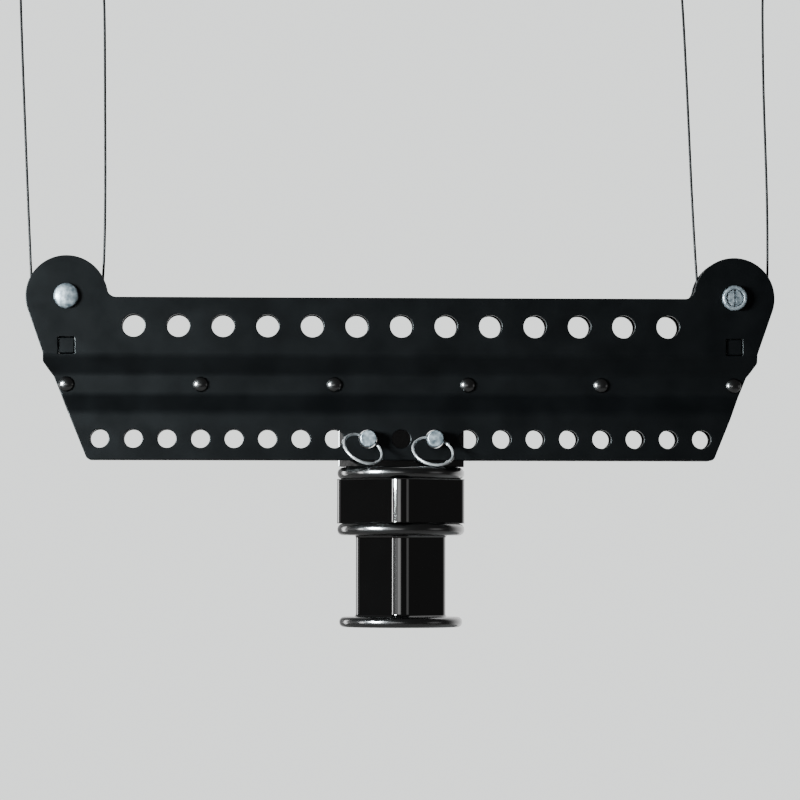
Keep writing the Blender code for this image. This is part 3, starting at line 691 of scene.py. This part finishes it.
def hub_disc(name, node, radius, upper, lower, extra=()):
    """A disc with a round rim; extra gives the corners of a boss or recess below it."""
    low, high = AXLE_Z - lower, AXLE_Z - upper
    edge = (high - low) * 0.46
    profile = list(extra) + [(radius, low, edge), (radius, high, edge), (HUB_BORE, high, 0.3 * MM)]
    if not extra:
        profile = [(HUB_BORE, low, 0.3 * MM)] + profile
    turned(name, profile, RIM_GLOSS, "rack", [node], (0, 0, 0), 128, closed=True, steps=10)


def square_loop(side, corner, z, bm):
    diagonal = side / 2 ** 0.5
    corners = [(0, -diagonal, corner), (diagonal, 0, corner), (0, diagonal, corner), (-diagonal, 0, corner)]
    turn = Matrix.Rotation(BLOCK_TURN, 2)
    return [bm.verts.new((*(turn @ Vector(point)), z)) for point in rounded(corners, 14)]


def hub_block(name, node, side, upper, lower, flare):
    """A square block with its corner to the front, and a coved fillet against the discs."""
    low, high = AXLE_Z - lower, AXLE_Z - upper
    levels = []
    for i in range(7):
        turn = radians(90 * i / 6)
        levels.append((low + flare * (1 - cos(turn)), flare * (1 - sin(turn))))
    levels += [(low + high - z, grow) for z, grow in reversed(levels)]
    bm = bmesh.new()
    loops = [square_loop(side + 2 * grow, BLOCK_CORNER + grow, z, bm) for z, grow in levels]
    bm.faces.new(loops[0])
    bm.faces.new(loops[-1])
    for lower_loop, upper_loop in zip(loops, loops[1:]):
        for i in range(len(lower_loop)):
            j = (i + 1) % len(lower_loop)
            bm.faces.new((lower_loop[i], lower_loop[j], upper_loop[j], upper_loop[i]))
    even_normals(piece(name, bm, GLOSS, "rack", node, smooth=50))


def hub():
    levels = HUB_LEVELS
    low = AXLE_Z - levels[1]
    boss = [(HUB_BORE, low - 14 * MM, 0.3 * MM), (9 * MM, low - 14 * MM, 0.5 * MM), (9 * MM, low, 0)]
    hub_disc("top_disc", "hub_top_disc", DISC_RADIUS, levels[0], levels[1], boss)
    hub_disc("middle_disc", "hub_middle_disc", DISC_RADIUS, levels[2], levels[3])
    flange_low = AXLE_Z - levels[5]
    recess = [(HUB_BORE, flange_low + 4.1 * MM, 0.2 * MM), (8.7 * MM, flange_low + 0.7 * MM, 0.1 * MM),
              (8.7 * MM, flange_low, 0.3 * MM)]
    hub_disc("bottom_flange", "hub_bottom_flange", FLANGE_RADIUS, levels[4], levels[5], recess)
    gap = 0.02 * MM
    hub_block("upper_square_block", "hub_upper_block", UPPER_SIDE, levels[1] + gap, levels[2] - gap, 0.7 * MM)
    hub_block("lower_square_post", "hub_lower_post", LOWER_SIDE, levels[3] + gap, levels[4] - gap, 1.7 * MM)
    blade()
    bolt_low, bolt_high = flange_low + 0.6 * MM, AXLE_Z - 100 * MM
    socket = bolt_low + 2.6 * MM
    bolt = [(0, socket, 0), (2.9 * MM, socket, 0.1 * MM), (3 * MM, bolt_low, 0.2 * MM),
            (8 * MM, bolt_low, 0.2 * MM), (5 * MM, bolt_low + 3 * MM, 0.2 * MM), (5 * MM, bolt_high, 0),
            (0, bolt_high, 0)]
    turned("countersunk_tie_bolt", bolt, STEEL, "rack", ["tie_bolt"], (0, 0, 0), 64)


def blade():
    low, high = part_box("hub_blade")
    corners = [(low.x, low.z, 0.3 * MM), (high.x, low.z, 0.3 * MM),
               (high.x, high.z, 4 * MM), (low.x, high.z, 4 * MM)]
    holes = [circle((sign * PIN_X, AXLE_Z - LOWER_HOLES[3]), LOWER_HOLES[2], 48) for sign in (-1, 1)]
    bm = soft_sheet(rounded(corners, 8), holes, (high.y - low.y) / 2, 0.5 * MM)
    even_normals(piece("pinned_blade", bm, GLOSS, "rack", "hub_blade"))


# Release pins

def release_pins():
    for side in SIDES:
        low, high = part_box(f"release_pin_{side}")
        joint = JOINTS[f"ring_lift_{side}"]
        hinge = Vector(joint["pos_m"])
        axis = Vector(joint["axis"]).normalized()
        at = (hinge.x, 0, hinge.z)
        profile = [(0, low.y, 0), (PIN_RADIUS, low.y, 0.8 * MM), (PIN_RADIUS, high.y - 1.6 * MM, 0.5 * MM),
                   (PIN_RADIUS - 1.3 * MM, high.y, 0.6 * MM), (0, high.y, 0)]
        pin = turned(f"quick_pin_{side}", profile, ZINC, f"pin_{side}", [f"release_pin_{side}"], at, 72, "Y",
                     steps=6)
        cross_hole(pin, hinge, axis)
        detent_ball(side)
        pull_ring(side, hinge, axis)


def cross_hole(pin, hinge, axis):
    """Drills the pin for its pull ring."""
    aim = Vector((0, 0, 1)).rotation_difference(axis).to_matrix().to_4x4()
    bm = bmesh.new()
    bmesh.ops.create_cone(bm, cap_ends=True, segments=32, radius1=2.0 * MM, radius2=2.0 * MM,
                          depth=14 * MM, matrix=Matrix.Translation(hinge) @ aim)
    bake_cut(pin, bm)


def detent_ball(side):
    low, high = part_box(f"detent_ball_{side}")
    middle = Matrix.Translation((low + high) / 2)
    bm = bmesh.new()
    bmesh.ops.create_icosphere(bm, subdivisions=4, radius=1.5 * MM, matrix=middle)
    piece(f"spring_ball_{side}", bm, STEEL, f"detent_{side}", f"detent_ball_{side}")


def pull_ring(side, hinge, axis):
    """A wire ring with a closed butt joint, through the pin's cross hole."""
    spots = [v.co for v in frame["nodes"][f"pull_ring_{side}"].data.vertices]
    centre = sum(spots, Vector()) / len(spots)
    down = (centre - hinge).normalized()
    gap = radians(3)
    steps = 144
    start = radians(-58)
    path = []
    for i in range(steps + 1):
        angle = start + gap / 2 + (tau - gap) * i / steps
        path.append(centre + (down * cos(angle) + axis * sin(angle)) * RING_RADIUS)
    bm = bmesh.new()
    tube(bm, path, lambda angle, distance: RING_WIRE, 20)
    piece(f"wire_ring_{side}", bm, RING_ZINC, f"ring_{side}", f"pull_ring_{side}", smooth=60)


def carried_over():
    """The small inner pieces keep their solids and get their materials."""
    kept = {"axle_sleeve": STEEL, "thrust_washer_front": BRONZE, "thrust_washer_rear": BRONZE,
            "blade_screw": STEEL, "detent_spring": STEEL}
    for stem, material in kept.items():
        for side in SIDES:
            node = frame["nodes"][f"{stem}_{side}"]
            node.data.materials.clear()
            node.data.materials.append(material)


# Studio

def world():
    """A pale wall behind the object, with a dark gap on the left, and a dark studio in front of it."""
    made = bpy.data.worlds.new("studio")
    bpy.context.scene.world = made
    made.use_nodes = True
    tree = made.node_tree
    tree.nodes.clear()
    out = tree.nodes.new("ShaderNodeOutputWorld")
    seen = tree.nodes.new("ShaderNodeBackground")
    seen.inputs["Color"].default_value = (1.47, 1.52, 1.50, 1)
    lit = tree.nodes.new("ShaderNodeBackground")
    place = tree.nodes.new("ShaderNodeTexCoord")
    split = tree.nodes.new("ShaderNodeSeparateXYZ")
    tree.links.new(place.outputs["Generated"], split.inputs["Vector"])
    turn = tree.nodes.new("ShaderNodeMath")
    turn.operation = "ARCTAN2"
    tree.links.new(split.outputs["X"], turn.inputs[0])
    tree.links.new(split.outputs["Y"], turn.inputs[1])
    share = tree.nodes.new("ShaderNodeMath")
    share.operation = "MULTIPLY_ADD"
    share.inputs[1].default_value = 1 / tau
    share.inputs[2].default_value = 0.5
    tree.links.new(turn.outputs["Value"], share.inputs[0])
    tree.links.new(ramp(tree, share.outputs["Value"], WALL), lit.inputs["Color"])
    path = tree.nodes.new("ShaderNodeLightPath")
    mix = tree.nodes.new("ShaderNodeMixShader")
    tree.links.new(path.outputs["Is Camera Ray"], mix.inputs["Fac"])
    tree.links.new(lit.outputs["Background"], mix.inputs[1])
    tree.links.new(seen.outputs["Background"], mix.inputs[2])
    tree.links.new(mix.outputs["Shader"], out.inputs["Surface"])


def floor():
    """A pale floor, lifted to the wall's brightness for the camera only."""
    level = Matrix.Translation((0, 0, -1.5))
    bm = bmesh.new()
    bmesh.ops.create_circle(bm, cap_ends=True, segments=96, radius=3.2, matrix=level)
    mesh = bpy.data.meshes.new("studio_floor")
    bm.to_mesh(mesh)
    bm.free()
    made = bpy.data.objects.new("studio_floor", mesh)
    bpy.context.collection.objects.link(made)
    material, tree, shader = shader_nodes("pale_floor")
    mottle = noise(tree, 3, 3)
    base = ramp(tree, mottle, [(0.3, (0.60, 0.605, 0.60)), (0.7, (0.64, 0.645, 0.64))])
    tree.links.new(base, shader.inputs["Base Color"])
    shader.inputs["Roughness"].default_value = 0.8
    path = tree.nodes.new("ShaderNodeLightPath")
    lift = tree.nodes.new("ShaderNodeMath")
    lift.operation = "MULTIPLY"
    lift.inputs[1].default_value = 1.6
    tree.links.new(path.outputs["Is Camera Ray"], lift.inputs[0])
    tree.links.new(base, shader.inputs["Emission Color"])
    tree.links.new(lift.outputs["Value"], shader.inputs["Emission Strength"])
    mesh.materials.append(material)


def area_light(name, place, target, size, power, colour=(1, 1, 1)):
    data = bpy.data.lights.new(name, "AREA")
    data.shape = "RECTANGLE"
    data.size, data.size_y = size
    data.energy = power
    data.color = colour
    data.spread = radians(70)
    light = bpy.data.objects.new(name, data)
    light.location = place
    light.visible_camera = False
    aim = Vector(target) - Vector(place)
    light.rotation_mode = "QUATERNION"
    light.rotation_quaternion = aim.to_track_quat("-Z", "Y")
    bpy.context.collection.objects.link(light)


def around(azimuth, height, reach):
    """A place round the hub; azimuth is in degrees to the left of straight in front."""
    turn = radians(azimuth)
    return (-reach * sin(turn), -reach * cos(turn), AXLE_Z - 0.14 + height)


def lights():
    """A small key on the left, and strips and cards for the gloss paint to mirror."""
    centre = around(0, 0, 0)
    beside_hub = around(-60, 0.03, 0.06)
    area_light("key_softbox", around(50, 0.16, 1.05), beside_hub, (0.34, 0.22), 16, (0.88, 0.97, 1.0))
    area_light("front_wide", around(36, 0.0, 2.5), centre, (2.9, 0.36), 0.56)
    area_light("front_strip", around(13, 0.0, 2.6), centre, (1.3, 0.36), 0.42)
    area_light("left_strip", around(79, 0.0, 1.5), centre, (0.2, 0.36), 0.48)
    area_light("left_low_card", around(110, 0.0, 1.5), centre, (0.74, 0.36), 0.05)
    area_light("left_rim_softbox", around(129, 0.05, 1.5), centre, (0.27, 1.0), 1.0)
    area_light("right_fill_card", around(-64, 0.0, 1.6), centre, (0.7, 0.45), 0.09)


def camera():
    """A long lens, a little low and left of the middle, looking slightly up."""
    data = bpy.data.cameras.new("camera")
    data.sensor_width = 36
    data.lens = 165.7
    data.clip_start, data.clip_end = 0.05, 50
    made = bpy.data.objects.new("camera", data)
    made.location = (-0.0885, -2.1, -0.35)
    made.rotation_euler = (radians(92.496), radians(-0.06), radians(-2.401))
    bpy.context.collection.objects.link(made)
    bpy.context.scene.camera = made


camera()
ropes()
ceiling_fittings()
formed_plate("front_plate", -1)
formed_plate("rear_plate", 1)
rivets()
rope_keepers()
sheaves()
axles()
hub()
release_pins()
carried_over()
world()
floor()
lights()
